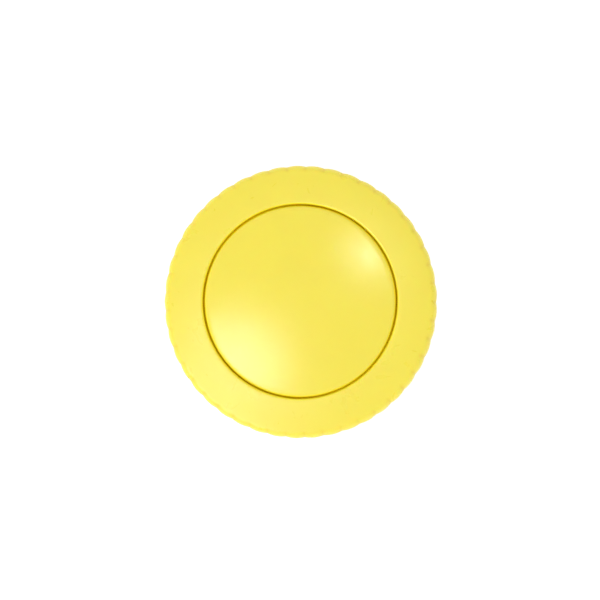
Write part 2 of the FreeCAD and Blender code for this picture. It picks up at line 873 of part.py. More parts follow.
def sensor_cover():
    back = sensor_seat_y() + sensor_len
    front = back + sensor_cover_t
    cover = disc(sensor_cover_r, back, front)
    cover = cover.makeChamfer(0.25, circle_edges(cover, sensor_cover_r, front))
    hole = disc(sensor_hole_r, back - OVERCUT, front + OVERCUT, sensor_hole_ring_r, 0)
    holes = around(hole, sensor_hole_count)
    holes.append(disc(sensor_hole_r, back - OVERCUT, front + OVERCUT))
    return radial(cover.cut(holes), -90, sensor_z)


def sensor_flex():
    back = sensor_seat_y()
    on_board = board_r - flex_on_board
    return block(flex_w, back - on_board, board_top_z, board_top_z + flex_t, 0, -(back + on_board) / 2)


def stud_pocket(angle):
    """Cuts for one stud: the head's and O-ring's seat, and the shank's hole."""
    z = bulkhead_z - stud_below_bulkhead
    seat = stud_seat_r() - stud_cord_d
    wide = radial(disc(stud_head_r + 0.05, seat, case_r + OVERCUT), angle, z)
    narrow = radial(disc(stud_shank_r, front_bore_r - OVERCUT, seat + OVERCUT), angle, z)
    return [wide, narrow]


def contact_studs():
    z = bulkhead_z - stud_below_bulkhead
    studs = []
    for angle in stud_angles():
        head = disc(stud_head_r, stud_seat_r(), case_r - stud_sunk)
        head = head.makeChamfer(0.2, circle_edges(head, stud_head_r, case_r - stud_sunk))
        shank = disc(stud_shank_r, front_bore_r - stud_inner_l, stud_seat_r())
        studs.append(radial(head.fuse(shank).removeSplitter(), angle, z))
    return Part.makeCompound(studs)


def stud_o_rings():
    z = bulkhead_z - stud_below_bulkhead
    cord_r = stud_cord_d / 2
    rings = []
    for angle in stud_angles():
        ring = torus(stud_shank_r + 0.02 + cord_r, cord_r - 0.01, stud_seat_r() - cord_r)
        rings.append(radial(ring, angle, z))
    return Part.makeCompound(rings)


# ---- Battery bay ----------------------------------------------------------------------------

def tray_screw_places():
    return [(0.0, tray_screw_y), (0.0, -tray_screw_y)]


def tray_screw_bite():
    """Depth of a tray screw in the bulkhead."""
    return bulkhead_t - tray_screw_spare


def battery_tray():
    floor_top_z = bay_floor_z + tray_t
    base = disc(skirt_inner_r - tray_edge_gap, bay_floor_z, floor_top_z)
    wall = tube(tray_inner_r, tray_inner_r + tray_wall, floor_top_z - BITE, floor_top_z + tray_wall_h)
    wall_top = floor_top_z + tray_wall_h + OVERCUT
    notch_x = tray_inner_r + tray_wall
    cuts = [block(notch_x, tray_notch_w, floor_top_z, wall_top, side * notch_x, 0) for side in (-1, 1)]
    cuts.extend(disc(board_screw_r, bay_floor_z, floor_top_z, x, y) for x, y in tray_screw_places())
    cuts.extend(disc(pin_r, bay_floor_z, floor_top_z, x, y) for x, y in pin_places())
    return base.fuse(wall).cut(cuts).removeSplitter()


def battery_cell():
    can = disc(cell_r, cell_z + 0.5, cell_z + cell_t)
    can = can.makeFillet(0.5, circle_edges(can, cell_r, cell_z + cell_t))
    return can.fuse(disc(cell_r - 1.4, cell_z, cell_z + 0.5)).removeSplitter()


def tray_screws():
    floor_top_z = bay_floor_z + tray_t
    screws = []
    for x, y in tray_screw_places():
        head_top_z = floor_top_z + tray_screw_head_h
        head = disc(board_screw_head_r, floor_top_z, head_top_z, x, y)
        shank = disc(board_screw_r, bay_floor_z - tray_screw_bite(), floor_top_z, x, y)
        slot = block(2 * board_screw_head_r, 0.4, head_top_z - 0.4, head_top_z + OVERCUT, x, y)
        screws.append(head.fuse(shank).cut(slot).removeSplitter())
    return Part.makeCompound(screws)


def strip(points, width):
    """Bent metal strip, from a closed section in XZ, centred on y = 0."""
    face = section_face(points)
    solid = face.extrude(FreeCAD.Vector(0, width, 0))
    solid.translate(FreeCAD.Vector(0, -width / 2, 0))
    return solid


def negative_contact():
    """Leaf that rises from the tray's floor to the underside of the cell."""
    low = bay_floor_z + tray_t
    high = low + contact_t
    top = cell_z
    return strip([
        (-3.0, low), (3.0, low), (3.0, high), (2.2, high), (-2.2, top),
        (-5.0, top), (-5.0, top - contact_t), (-2.2, top - contact_t), (1.0, high - 0.02),
        (-3.0, high - 0.02),
    ], contact_w)


def positive_contact():
    """Clip that stands beside the cell and reaches over its rim."""
    low = bay_floor_z + tray_t
    inner = cell_r + 0.1
    outer = inner + contact_t
    foot = positive_pin_x + 1.5
    top = cell_z + cell_t + contact_t
    return strip([
        (foot, low), (foot, low + contact_t), (outer, low + contact_t), (outer, top),
        (cell_r - 2.5, top), (cell_r - 2.5, top - contact_t), (inner, top - contact_t),
        (inner, low),
    ], contact_w)


def bulkhead_pins():
    pins = [disc(pin_r, board_top_z, bay_floor_z + tray_t, x, y) for x, y in pin_places()]
    return Part.makeCompound(pins)


# ---- Buttons, modelled on the right-hand side -----------------------------------------------

def button_groove():
    """Low and high edges of the O-ring groove in a stem."""
    low_z = spring_floor_z + stem_groove_from_spring
    return low_z, low_z + stem_groove_w


def button_cap():
    pad_top_z = button_pad_z + button_pad_t
    pad = rounded_block(button_l, button_w, button_w / 2 - 0.01, button_pad_z, pad_top_z, button_x, button_y)
    front = [edge for edge in pad.Edges if abs(edge.CenterOfMass.z - button_pad_z) < 1e-4]
    pad = pad.makeFillet(button_edge_r, front)
    stem = disc(stem_r, pad_top_z - BITE, stem_top_z, button_x, button_y)
    low_z, high_z = button_groove()
    seal_cut = tube(stem_groove_r, stem_r + OVERCUT, low_z, high_z)
    clip_cut = tube(stem_r - clip_bite, stem_r + OVERCUT, clip_z, clip_z + clip_t)
    for cut in (seal_cut, clip_cut):
        cut.translate(FreeCAD.Vector(button_x, button_y, 0))
    return pad.fuse(stem).cut([seal_cut, clip_cut]).removeSplitter()


def button_o_ring():
    low_z, high_z = button_groove()
    cord_r = stem_cord_d / 2
    return torus(stem_groove_r + seal_nest_gap + cord_r, cord_r, (low_z + high_z) / 2, button_x, button_y)


def button_clip():
    clip = tube(stem_r - clip_bite, clip_r, clip_z, clip_z + clip_t)
    mouth = block(clip_mouth, 2 * clip_r, clip_z - OVERCUT, clip_z + clip_t + OVERCUT, 0, -clip_r)
    clip = clip.cut(mouth)
    clip.translate(FreeCAD.Vector(button_x, button_y, 0))
    return clip


def button_spring():
    """Coil made of half circles that lean one way and the other, so that each runs on into the next."""
    low_z = button_pad_z + button_pad_t + spring_wire_r + spring_end_gap
    high_z = spring_floor_z - spring_wire_r - spring_end_gap
    rise = (high_z - low_z) / spring_half_turns
    across_y = FreeCAD.Vector(0, 1, 0)
    halves = []
    for index in range(spring_half_turns):
        side = 1 if index % 2 == 0 else -1
        start = FreeCAD.Vector(side * spring_r, 0, low_z + index * rise)
        center = FreeCAD.Vector(0, 0, low_z + (index + 0.5) * rise)
        axis = FreeCAD.Vector(side * rise, 0, 2 * spring_r)
        section = Part.Face(Part.Wire(Part.makeCircle(spring_wire_r, start, across_y)))
        halves.append(section.revolve(center, axis, 180))
    coil = halves[0].fuse(halves[1:])
    coil.translate(FreeCAD.Vector(button_x, button_y, 0))
    return coil


# ---- Build and write ------------------------------------------------------------------------

single_pieces = (
    locking_ring, keeper_ring, glide_washer, battery_door, door_o_ring, door_pad,
    main_case, case_screws, screw_inserts, front_shell, bezel_ring, display_window, window_gasket,
    case_o_ring, lcd_panel, lcd_backlight, lcd_frame, zebra_strips, main_board, microcontroller,
    crystal_can, board_capacitors, dome_switches, board_screws, buzzer_disc, depth_sensor,
    sensor_o_ring, sensor_cover, sensor_flex, contact_studs, stud_o_rings, battery_tray,
    battery_cell, tray_screws, negative_contact, positive_contact, bulkhead_pins,
)

button_pieces = (button_cap, button_o_ring, button_clip, button_spring)

pieces = {}
for build in single_pieces:
    pieces[build.__name__] = build()
for build in button_pieces:
    right = build()
    pieces[build.__name__ + "_right"] = right
    pieces[build.__name__ + "_left"] = mirrored_x(right)

os.makedirs("parts", exist_ok=True)
for name, shape in pieces.items():
    if not shape.isValid() or shape.Volume <= 0:
        raise ValueError(name + " is not a sound solid")
    shape.exportStep("parts/" + name + ".step")
    print(name, len(shape.Solids), round(shape.Volume, 2))
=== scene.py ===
# %% [markdown]
# A round console dive computer lies on its display, so the battery hatch and its locking ring face up.
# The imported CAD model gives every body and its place. This lesson keeps that frame as it is, models the
# pieces that a hand or an eye meets more finely, gives every piece a moulded, turned or pressed finish,
# and lights the result on a pale table.

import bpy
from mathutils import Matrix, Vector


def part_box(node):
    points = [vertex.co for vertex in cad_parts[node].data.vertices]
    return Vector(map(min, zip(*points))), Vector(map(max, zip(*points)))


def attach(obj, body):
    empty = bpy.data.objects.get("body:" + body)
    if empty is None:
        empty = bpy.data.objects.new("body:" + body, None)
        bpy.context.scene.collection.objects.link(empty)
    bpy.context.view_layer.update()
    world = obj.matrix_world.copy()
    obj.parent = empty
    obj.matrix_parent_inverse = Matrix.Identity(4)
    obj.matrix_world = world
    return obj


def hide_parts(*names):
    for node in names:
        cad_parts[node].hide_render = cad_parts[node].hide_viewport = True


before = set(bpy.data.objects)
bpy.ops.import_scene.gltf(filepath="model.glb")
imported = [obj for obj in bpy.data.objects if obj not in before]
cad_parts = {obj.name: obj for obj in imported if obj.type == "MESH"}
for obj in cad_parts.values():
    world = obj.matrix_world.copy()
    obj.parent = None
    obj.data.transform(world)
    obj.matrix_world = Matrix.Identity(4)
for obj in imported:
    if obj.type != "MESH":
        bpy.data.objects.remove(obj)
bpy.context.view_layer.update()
print("nodes:", len(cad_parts))

# %% [markdown]
# Blender works in metres, while a moulding drawing is in millimetres. The pieces below are drawn in
# millimetres and shrunk once, when they are finished, so the numbers read as they would on the drawing.

# %% Modules and units
import math

import bmesh
import bpy
from mathutils import Matrix, Vector

MM = 0.001
FULL_TURN = 2 * math.pi
scene = bpy.context.scene
scene.view_settings.view_transform = "Standard"
scene.cycles.diffuse_bounces = 12


def box_mm(node):
    """Lowest and highest corners of a CAD node, in millimetres."""
    low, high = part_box(node)
    return low / MM, high / MM


ring_low, ring_high = box_mm("locking_ring")
door_low, door_high = box_mm("battery_door")
print("ring from z", round(ring_low.z, 2), "door top z", round(door_high.z, 2))

# %% [markdown]
# Every new piece ends the same way. Doubled points are merged, so that a surface is closed where a spin
# meets itself. The normals are then made to point outwards, and edges sharper than a set angle stay
# crisp while the rest is shaded smooth. Last, the piece is attached to the body it moves with, and the
# CAD node it stands for, if any, is hidden.

# %% Finish a piece
SHARP_ANGLE = math.radians(38)
MERGE_MM = 0.0005


def finish_piece(name, bm, body, node=None):
    """Turns a bmesh drawn in millimetres into an object that rides on a body."""
    bmesh.ops.remove_doubles(bm, verts=bm.verts, dist=MERGE_MM)
    bmesh.ops.recalc_face_normals(bm, faces=bm.faces)
    bmesh.ops.transform(bm, matrix=Matrix.Scale(MM, 4), verts=bm.verts)
    mesh = bpy.data.meshes.new(name)
    bm.to_mesh(mesh)
    bm.free()
    mesh.shade_smooth()
    mesh.set_sharp_from_angle(angle=SHARP_ANGLE)
    piece = bpy.data.objects.new(name, mesh)
    scene.collection.objects.link(piece)
    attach(piece, body)
    if node:
        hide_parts(node)
    print(name, "has", len(mesh.polygons), "faces and rides on", body)
    return piece


print("edges sharper than", round(math.degrees(SHARP_ANGLE)), "degrees stay crisp")

# %% [markdown]
# Round mouldings are drawn as half of their section and spun about the axis, as a lathe would turn them.
# A section is a chain of corners. A corner with a third number is rounded to that radius, which a vertex
# bevel does. Long curves, such as a crown, are arcs: their points come from the arc's centre and radius.

# %% Sections and the lathe
ROUND_STEPS = 4


def arc(center, radius, start, end, steps):
    """Points of an arc in the section; angles run from straight up towards the outside."""
    points = []
    for step in range(steps + 1):
        angle = start + (end - start) * step / steps
        points.append((center[0] + radius * math.sin(angle), center[1] + radius * math.cos(angle)))
    return points


def draw_section(bm, corners, closed):
    """Chain of edges in the XZ plane. A corner's third number is the radius that rounds it."""
    verts = [bm.verts.new((corner[0], 0, corner[1])) for corner in corners]
    following = verts[1:] + verts[:1] if closed else verts[1:]
    for here, after in zip(verts, following):
        bm.edges.new((here, after))
    for vert, corner in zip(verts, corners):
        if len(corner) == 3:
            bmesh.ops.bevel(
                bm, geom=[vert], offset=corner[2], offset_type="OFFSET", segments=ROUND_STEPS,
                profile=0.5, affect="VERTICES", material=-1)


def lathe(bm, corners, steps, closed=True):
    """Spins a section once round Z."""
    draw_section(bm, corners, closed)
    bmesh.ops.spin(
        bm, geom=bm.verts[:] + bm.edges[:], cent=(0, 0, 0), axis=(0, 0, 1), dvec=(0, 0, 0),
        angle=FULL_TURN, steps=steps, use_merge=True, use_duplicate=False)


def corner_arc(crown_center, crown_r, edge_r, wall_r, side):
    """Centre of the round between a crown and a wall, and the angle at which the crown ends."""
    round_r = wall_r - side * edge_r
    reach = crown_r - edge_r
    lean = math.asin((round_r - crown_center[0]) / reach)
    return (round_r, crown_center[1] + reach * math.cos(lean)), lean


print("a rounded corner takes", ROUND_STEPS, "steps")

# %% [markdown]
# The locking ring is the yellow collar that a gloved hand turns. Its face is a low crown that rolls over
# a soft shoulder into the grip. The grip is a row of shallow scallops, which a mould cuts straight down,
# so they fade where the shoulder turns away. The ring is spun first, and then its outer points are drawn
# in towards the axis between the crests. Doing it in that order keeps the crown perfectly round.

# %% Sizes of the locking ring
ring_r = max(ring_high.x, -ring_low.x)
ring_foot_z = ring_low.z
lip_r = 24.2
lip_under_z = 24.9
lip_top_z = 26.9
lip_edge_r = 0.5
crown_r = 66.0
crown_center_r = 20.7
shoulder_r = 1.9
nut_root_r = 31.3
nut_shelf_z = 21.2
throat_r = 27.5
keeper_groove_r = 28.7
keeper_groove_low_z = 21.85
keeper_groove_high_z = 22.75
scallops = 45
scallop_depth = 0.26
first_crest = math.radians(3.75)
steps_per_scallop = 16
print("ring radius", round(ring_r, 2), "and", scallops, "scallops")

# %% [markdown]
# The outside of the section is three arcs that run into each other: a small round at the lip beside the
# hatch, the long crown, and the shoulder. Their centres are worked out so that each arc leaves in the
# direction in which the next one starts, as on a turned piece. The inside is plain steps: the bore for
# the thread, the shelf that presses the hatch down and the groove of the keeper that holds the two
# together. Spinning the closed section once gives the whole ring in one operation.

# %% Spin the locking ring
LIP_STEPS = 6
CROWN_STEPS = 16
SHOULDER_STEPS = 14
lip_from_center = lip_r + lip_edge_r - crown_center_r
crown_drop = math.sqrt((crown_r - lip_edge_r) ** 2 - lip_from_center ** 2)
crown_z = lip_top_z - lip_edge_r - crown_drop
crown_center = (crown_center_r, crown_z)
lip_center, lip_lean = corner_arc(crown_center, crown_r, lip_edge_r, lip_r, -1)
shoulder_center, shoulder_lean = corner_arc(crown_center, crown_r, shoulder_r, ring_r, 1)

ring_section = [(lip_r, lip_under_z, 0.15)]
ring_section += arc(lip_center, lip_edge_r, -math.pi / 2, lip_lean, LIP_STEPS)
ring_section += arc(crown_center, crown_r, lip_lean, shoulder_lean, CROWN_STEPS)[1:]
ring_section += arc(shoulder_center, shoulder_r, shoulder_lean, math.pi / 2, SHOULDER_STEPS)[1:]
ring_section += [
    (ring_r, ring_foot_z, 0.5), (nut_root_r + 0.3, ring_foot_z, 0.1), (nut_root_r, ring_foot_z + 0.3),
    (nut_root_r, nut_shelf_z, 0.2), (throat_r, nut_shelf_z, 0.2),
    (throat_r, keeper_groove_low_z), (keeper_groove_r, keeper_groove_low_z),
    (keeper_groove_r, keeper_groove_high_z), (throat_r, keeper_groove_high_z), (throat_r, lip_under_z, 0.15),
]
ring_bm = bmesh.new()
lathe(ring_bm, ring_section, scallops * steps_per_scallop)
print("section of", len(ring_section), "corners spun into", len(ring_bm.faces), "faces")

# %% [markdown]
# A scallop could be a cylinder cut off the rim 45 times, but boolean cuts leave slivers in a soft
# shoulder. Moving points is cleaner: each one is drawn in by the square of its distance from the
# nearest crest, which is a shallow arc, and the move fades to nothing towards the crown. Each point also
# remembers how deep between two crests it lies, in an attribute that the finish reads later to paint
# shade into the valleys.

# %% Cut the scallops
grip_fade_from = 32.0
grip_full_from = 33.4


def smooth_step(value, low, high):
    """0 below low, 1 above high, and an even S between them."""
    share = min(max((value - low) / (high - low), 0.0), 1.0)
    return share * share * (3 - 2 * share)


bmesh.ops.rotate(
    ring_bm, verts=ring_bm.verts, cent=(0, 0, 0), matrix=Matrix.Rotation(first_crest, 3, "Z"))
valley_shade = ring_bm.verts.layers.float.new("valley_shade")
for vert in ring_bm.verts:
    radius = vert.co.xy.length
    grip = smooth_step(radius, grip_fade_from, grip_full_from)
    turn = (math.atan2(vert.co.y, vert.co.x) - first_crest) * scallops / FULL_TURN
    from_crest = 2 * (turn - round(turn))
    # This weight tells the finish where to paint shade into the valleys of the grip.
    vert[valley_shade] = grip * from_crest ** 4
    vert.co.xy *= 1 - grip * scallop_depth * from_crest ** 2 / radius
print("scallop pitch", round(FULL_TURN * ring_r / scallops, 2), "mm")

# %% [markdown]
# Inside the ring, four thread starts climb at a lead of six millimetres, so one turn frees the hatch.
# A thread is a small trapezium that is spun while it rises: the spin operator takes a step of travel
# along with the angle. The ends are closed by the trapezium's own face.

# %% Add the ring's thread
thread_starts = 4
thread_lead = 6.0
thread_depth = 1.2
thread_foot_half = 0.50
thread_crest_half = 0.18
thread_bite = 0.1
thread_phase_z = 0.75
thread_end_gap = 0.3
steps_per_turn = 120


def thread_ridge(bm, low_z, high_z, start_angle):
    """One helical ridge on the bore of the ring, from low_z up to high_z."""
    corners = [
        (nut_root_r + thread_bite, -thread_foot_half), (nut_root_r - thread_depth, -thread_crest_half),
        (nut_root_r - thread_depth, thread_crest_half), (nut_root_r + thread_bite, thread_foot_half),
    ]
    verts = [bm.verts.new((radius, 0, low_z + height)) for radius, height in corners]
    profile = bm.faces.new(verts)
    bmesh.ops.rotate(bm, verts=verts, cent=(0, 0, 0), matrix=Matrix.Rotation(start_angle, 3, "Z"))
    turns = (high_z - low_z) / thread_lead
    steps = round(turns * steps_per_turn)
    rise = (high_z - low_z) / steps
    bmesh.ops.spin(
        bm, geom=[profile], cent=(0, 0, 0), axis=(0, 0, 1), dvec=(0, 0, rise),
        angle=turns * FULL_TURN, steps=steps, use_merge=False, use_duplicate=True)


thread_low_z = ring_foot_z + thread_end_gap + thread_foot_half
thread_high_z = nut_shelf_z - thread_end_gap - thread_foot_half
for start in range(thread_starts):
    turn = (thread_low_z - thread_phase_z) / thread_lead + start / thread_starts
    thread_ridge(ring_bm, thread_low_z, thread_high_z, turn * FULL_TURN)
locking_ring = finish_piece("grip_ring", ring_bm, "ring", "locking_ring")

# %% [markdown]
# The battery hatch is a slightly domed disc that shows inside the ring. Under its face are the flange
# that the ring presses down and the skirt with a groove for the O-ring. All of it is one moulding, so
# it is one section spun once. The dome is a very large circle: it rises one millimetre in the middle.

# %% Sizes of the battery hatch
door_face_r = 23.8
door_edge_z = 27.0
door_edge_r = 1.0
door_flange_r = 27.2
door_flange_top_z = 24.5
door_flange_low_z = 22.9
skirt_r = 24.15
skirt_inner_r = 21.4
skirt_foot_z = door_low.z
seal_floor_r = 22.95
seal_low_z = 19.25
seal_high_z = 20.95
roof_z = 25.0
door_crown = door_high.z - door_edge_z
print("hatch", 2 * door_face_r, "mm across, domed by", round(door_crown, 2), "mm")

# %% [markdown]
# The dome's radius follows from its rise and its width. It ends in a rounded edge that turns down into
# the gap, and that edge is what draws the fine line round the hatch. Corners that are only broken by
# the mould get a small radius of their own. The first and last points lie on the axis, so the section
# needs no closing edge there.

# %% Spin the battery hatch
DOME_STEPS = 40
EDGE_STEPS = 10
DOOR_TURN_STEPS = 360
dome_r = (door_face_r ** 2 + door_crown ** 2) / (2 * door_crown)
dome_center = (0.0, door_high.z - dome_r)
edge_center, edge_lean = corner_arc(dome_center, dome_r, door_edge_r, door_face_r, 1)

door_section = arc(dome_center, dome_r, 0.0, edge_lean, DOME_STEPS)
door_section += arc(edge_center, door_edge_r, edge_lean, math.pi / 2, EDGE_STEPS)[1:]
door_section += [
    (door_face_r, door_flange_top_z, 0.2), (door_flange_r, door_flange_top_z, 0.2),
    (door_flange_r, door_flange_low_z, 0.2), (skirt_r, door_flange_low_z, 0.15),
    (skirt_r, seal_high_z, 0.1), (seal_floor_r, seal_high_z, 0.1),
    (seal_floor_r, seal_low_z, 0.1), (skirt_r, seal_low_z, 0.1),
    (skirt_r, skirt_foot_z, 0.4), (skirt_inner_r, skirt_foot_z, 0.3),
    (skirt_inner_r, roof_z, 0.5), (0.0, roof_z),
]
door_bm = bmesh.new()
lathe(door_bm, door_section, DOOR_TURN_STEPS, closed=False)
print("dome radius", round(dome_r, 1), "mm")

# %% [markdown]
# A small key under the flange drops into a slot in the case, so that the hatch cannot turn with the
# ring. It is not round about the axis, so it is a box of its own. It reaches a little into the flange
# and shares its mesh, as both come out of one mould.

# %% Add the key under the flange
key_size = (3.0, 1.4, 0.9)
key_middle = (0.0, 25.65, 22.55)
key_edge_r = 0.2
KEY_EDGE_STEPS = 3


def rounded_box(bm, size, middle, edge_r):
    """Box with every edge rounded."""
    made = bmesh.ops.create_cube(bm, size=1.0)
    bmesh.ops.scale(bm, verts=made["verts"], vec=size)
    bmesh.ops.translate(bm, verts=made["verts"], vec=middle)
    edges = list(dict.fromkeys(edge for vert in made["verts"] for edge in vert.link_edges))
    bmesh.ops.bevel(
        bm, geom=edges, offset=edge_r, offset_type="OFFSET", segments=KEY_EDGE_STEPS, profile=0.5,
        affect="EDGES", material=-1)


rounded_box(door_bm, key_size, key_middle, key_edge_r)
battery_hatch = finish_piece("battery_hatch", door_bm, "hatch", "battery_door")

# %% [markdown]
# On the other side is the display, a liquid crystal panel that shows depth, time and temperature as
# seven-segment figures. A segment is a thin bar with pointed ends: a six-sided disc whose points are
# pushed apart. The display is read from below, so the figures are laid out as seen through the window,
# with left and right exchanged.

# %% Seven-segment figures
lcd_low, lcd_high = box_mm("lcd_panel")
lcd_middle_y = (lcd_low.y + lcd_high.y) / 2
film_t = 0.03
film_sunk = film_t / 3
SEGMENT_PLACES = {
    "a": (0, 1, False), "g": (0, 0, False), "d": (0, -1, False),
    "f": (-0.5, 0.5, True), "b": (0.5, 0.5, True), "e": (-0.5, -0.5, True), "c": (0.5, -0.5, True),
}
LIT_SEGMENTS = {"1": "bc", "2": "abged", "3": "abgcd", "4": "fgbc", "8": "abcdefg"}
SEGMENT_SIDES = 6
BAR_SHARE = 0.055
BAR_END_GAP = 2.2


def flat_shape(bm, sides, radius, stretch, upright, x, y):
    """Thin film of a polygon whose points are pushed apart by stretch on each side."""
    made = bmesh.ops.create_circle(bm, cap_ends=True, segments=sides, radius=radius)
    verts = made["verts"]
    bmesh.ops.rotate(bm, verts=verts, cent=(0, 0, 0), matrix=Matrix.Rotation(math.pi / sides, 3, "Z"))
    for vert in verts:
        vert.co.x += math.copysign(stretch, vert.co.x)
    if upright:
        bmesh.ops.rotate(bm, verts=verts, cent=(0, 0, 0), matrix=Matrix.Rotation(math.pi / 2, 3, "Z"))
    bmesh.ops.translate(bm, verts=verts, vec=(-x, lcd_middle_y + y, lcd_low.z + film_sunk))
    face = verts[0].link_faces[0]
    raised = bmesh.ops.extrude_face_region(bm, geom=[face])["geom"]
    moved = [item for item in raised if isinstance(item, bmesh.types.BMVert)]
    bmesh.ops.translate(bm, verts=moved, vec=(0, 0, -film_t))


def figure(bm, digit, height, x, y):
    """One seven-segment digit centred on x, y as the diver sees it."""
    half = height / 2
    bar = height * BAR_SHARE
    stretch = half / 2 - BAR_END_GAP * bar
    for name in LIT_SEGMENTS[digit]:
        across, up, upright = SEGMENT_PLACES[name]
        flat_shape(bm, SEGMENT_SIDES, bar, stretch, upright, x + across * half, y + up * half)


print("digits the display can show:", " ".join(LIT_SEGMENTS))

# %% [markdown]
# The diver reads the depth from the large row. Below a thin rule are the minutes of the dive and the
# water's temperature, and four marks between them show how full the battery is. Digits stand at an even
# pitch, so a reading is a loop that walks to the right. Every place is a share of the digit's height,
# which lets one function draw both sizes.

# %% Lay out the display
DIGIT_PITCH = 0.78
STOP_SIDES = 12
STOP_R = 0.06
STOP_BACK = 0.31
STOP_PITCH = 0.12
DEPTH_HEIGHT = 8.4
SMALL_HEIGHT = 4.2
SMALL_ROW_Y = -6.2
battery_marks = 4
battery_mark_pitch = 1.6


def reading(bm, text, height, x, y):
    """A row of digits; a full stop takes a narrow place of its own."""
    for letter in text:
        if letter == ".":
            stop_x = x - height * STOP_BACK
            flat_shape(bm, STOP_SIDES, height * STOP_R, 0.0, False, stop_x, y - height / 2)
            x += height * STOP_PITCH
        else:
            figure(bm, letter, height, x, y)
            x += height * DIGIT_PITCH


digits_bm = bmesh.new()
reading(digits_bm, "18.4", DEPTH_HEIGHT, -7.6, 3.6)
reading(digits_bm, "32", SMALL_HEIGHT, -10.2, SMALL_ROW_Y)
reading(digits_bm, "24", SMALL_HEIGHT, 6.6, SMALL_ROW_Y)
for mark in range(battery_marks):
    flat_shape(digits_bm, 4, 0.75, 0.05, False, -2.4 + battery_mark_pitch * mark, -8.0)
rule_half_length = 12.4
rule_y = -2.7
flat_shape(digits_bm, SEGMENT_SIDES, 0.16, rule_half_length, False, 0.0, rule_y)
lcd_digits = finish_piece("lcd_digits", digits_bm, "case")

# %% [markdown]
# The finish of a moulded piece is more than its colour. The resin is a little uneven, the mould's fine
# grain breaks up the gloss, and handling polishes the surface in patches. Each finish here is a few
# noise textures read in object coordinates, so a pattern keeps its size and moves with its piece.
# Small helpers wire the nodes, so that each finish below stays short.

# %% Wire nodes
def noise(tree, size_mm, detail=3.0, distortion=0.0, stretch=(1.0, 1.0, 1.0)):
    """Noise whose grains are about size_mm across; stretch squeezes it along an axis."""
    coords = tree.nodes.new("ShaderNodeTexCoord")
    mapping = tree.nodes.new("ShaderNodeMapping")
    mapping.inputs["Scale"].default_value = stretch
    texture = tree.nodes.new("ShaderNodeTexNoise")
    texture.inputs["Scale"].default_value = 1 / (size_mm * MM)
    texture.inputs["Detail"].default_value = detail
    texture.inputs["Distortion"].default_value = distortion
    tree.links.new(coords.outputs["Object"], mapping.inputs["Vector"])
    tree.links.new(mapping.outputs["Vector"], texture.inputs["Vector"])
    return texture.outputs[0]


def spread(tree, value, low, high, to_low, to_high):
    """Maps a value from one range to another and keeps it there."""
    node = tree.nodes.new("ShaderNodeMapRange")
    for name, number in (("From Min", low), ("From Max", high), ("To Min", to_low), ("To Max", to_high)):
        node.inputs[name].default_value = number
    tree.links.new(value, node.inputs["Value"])
    return node.outputs["Result"]


def mixed(tree, share, color_a, color_b):
    """Colour between two others; each is a colour or another node's output."""
    node = tree.nodes.new("ShaderNodeMix")
    node.data_type = "RGBA"
    tree.links.new(share, node.inputs[0])
    for socket, color in ((node.inputs[6], color_a), (node.inputs[7], color_b)):
        if isinstance(color, tuple):
            socket.default_value = (*color, 1.0)
        else:
            tree.links.new(color, socket)
    return node.outputs[2]


def bumped(tree, height, depth_mm, strength, under=None):
    """Normal roughened by a height that stands for depth_mm."""
    node = tree.nodes.new("ShaderNodeBump")
    node.inputs["Distance"].default_value = depth_mm * MM
    node.inputs["Strength"].default_value = strength
    tree.links.new(height, node.inputs["Height"])
    if under is not None:
        tree.links.new(under, node.inputs["Normal"])
    return node.outputs["Normal"]


def shaded(color, factor):
    """A colour made lighter or darker."""
    return tuple(min(part * factor, 1.0) for part in color)


def new_material(name, color, roughness, **sockets):
    """Material with its plain values set on the shader itself."""
    material = bpy.data.materials.new(name)
    material.use_nodes = True
    shader = material.node_tree.nodes["Principled BSDF"]
    shader.inputs["Base Color"].default_value = (*color, 1.0)
    shader.inputs["Roughness"].default_value = roughness
    for socket, value in sockets.items():
        shader.inputs[socket.replace("_", " ")].default_value = value
    return material, material.node_tree, shader


print("node helpers: noise, spread, mixed, bumped, shaded, new_material")

# %% [markdown]
# The yellow resin is a tough, slightly translucent plastic. Light enters it and comes out a little
# farther on, so the shader gets a short subsurface radius. In the thin gap round the hatch the light
# passes through resin again and again and comes out nearly orange. A few bounces cannot show that, so
# the walls of the gap get a painted shade: a deeper, nearly orange yellow, laid by their distance from
# the axis. A fine grain of about a third of a millimetre speckles a sharp reflection, broad waves bend
# it, and faint rubs change its gloss. The valleys between the crests of the grip get a painted shade as
# well, a little deeper in colour, so that the scallops show under the soft light. The three yellow
# mouldings come from separate shots, so each gets its own slight change of tone.

# %% Yellow resin
YELLOW = (0.93, 0.785, 0.072)
# The next two colours are painted shade: the first for the walls of the gap round the hatch, the second for
# the valleys of the grip.
GAP_PAINTED_SHADE = (0.99, 0.83, 0.004)
VALLEY_PAINTED_SHADE = (0.85, 0.67, 0.045)
GAP_SHADE_MM = 0.5
GRAIN_MM = 0.32
LIGHT_SHARE = 0.3
LIGHT_DEPTH_MM = 1.0
LIGHT_REACH = (1.0, 0.55, 0.05)
RESIN_IOR = 1.6


def axis_distance(tree):
    """Distance of a point from the axis, in metres."""
    coords = tree.nodes.new("ShaderNodeTexCoord")
    flat = tree.nodes.new("ShaderNodeVectorMath")
    flat.operation = "MULTIPLY"
    flat.inputs[1].default_value = (1.0, 1.0, 0.0)
    length = tree.nodes.new("ShaderNodeVectorMath")
    length.operation = "LENGTH"
    tree.links.new(coords.outputs["Object"], flat.inputs[0])
    tree.links.new(flat.outputs[0], length.inputs[0])
    return length.outputs["Value"]


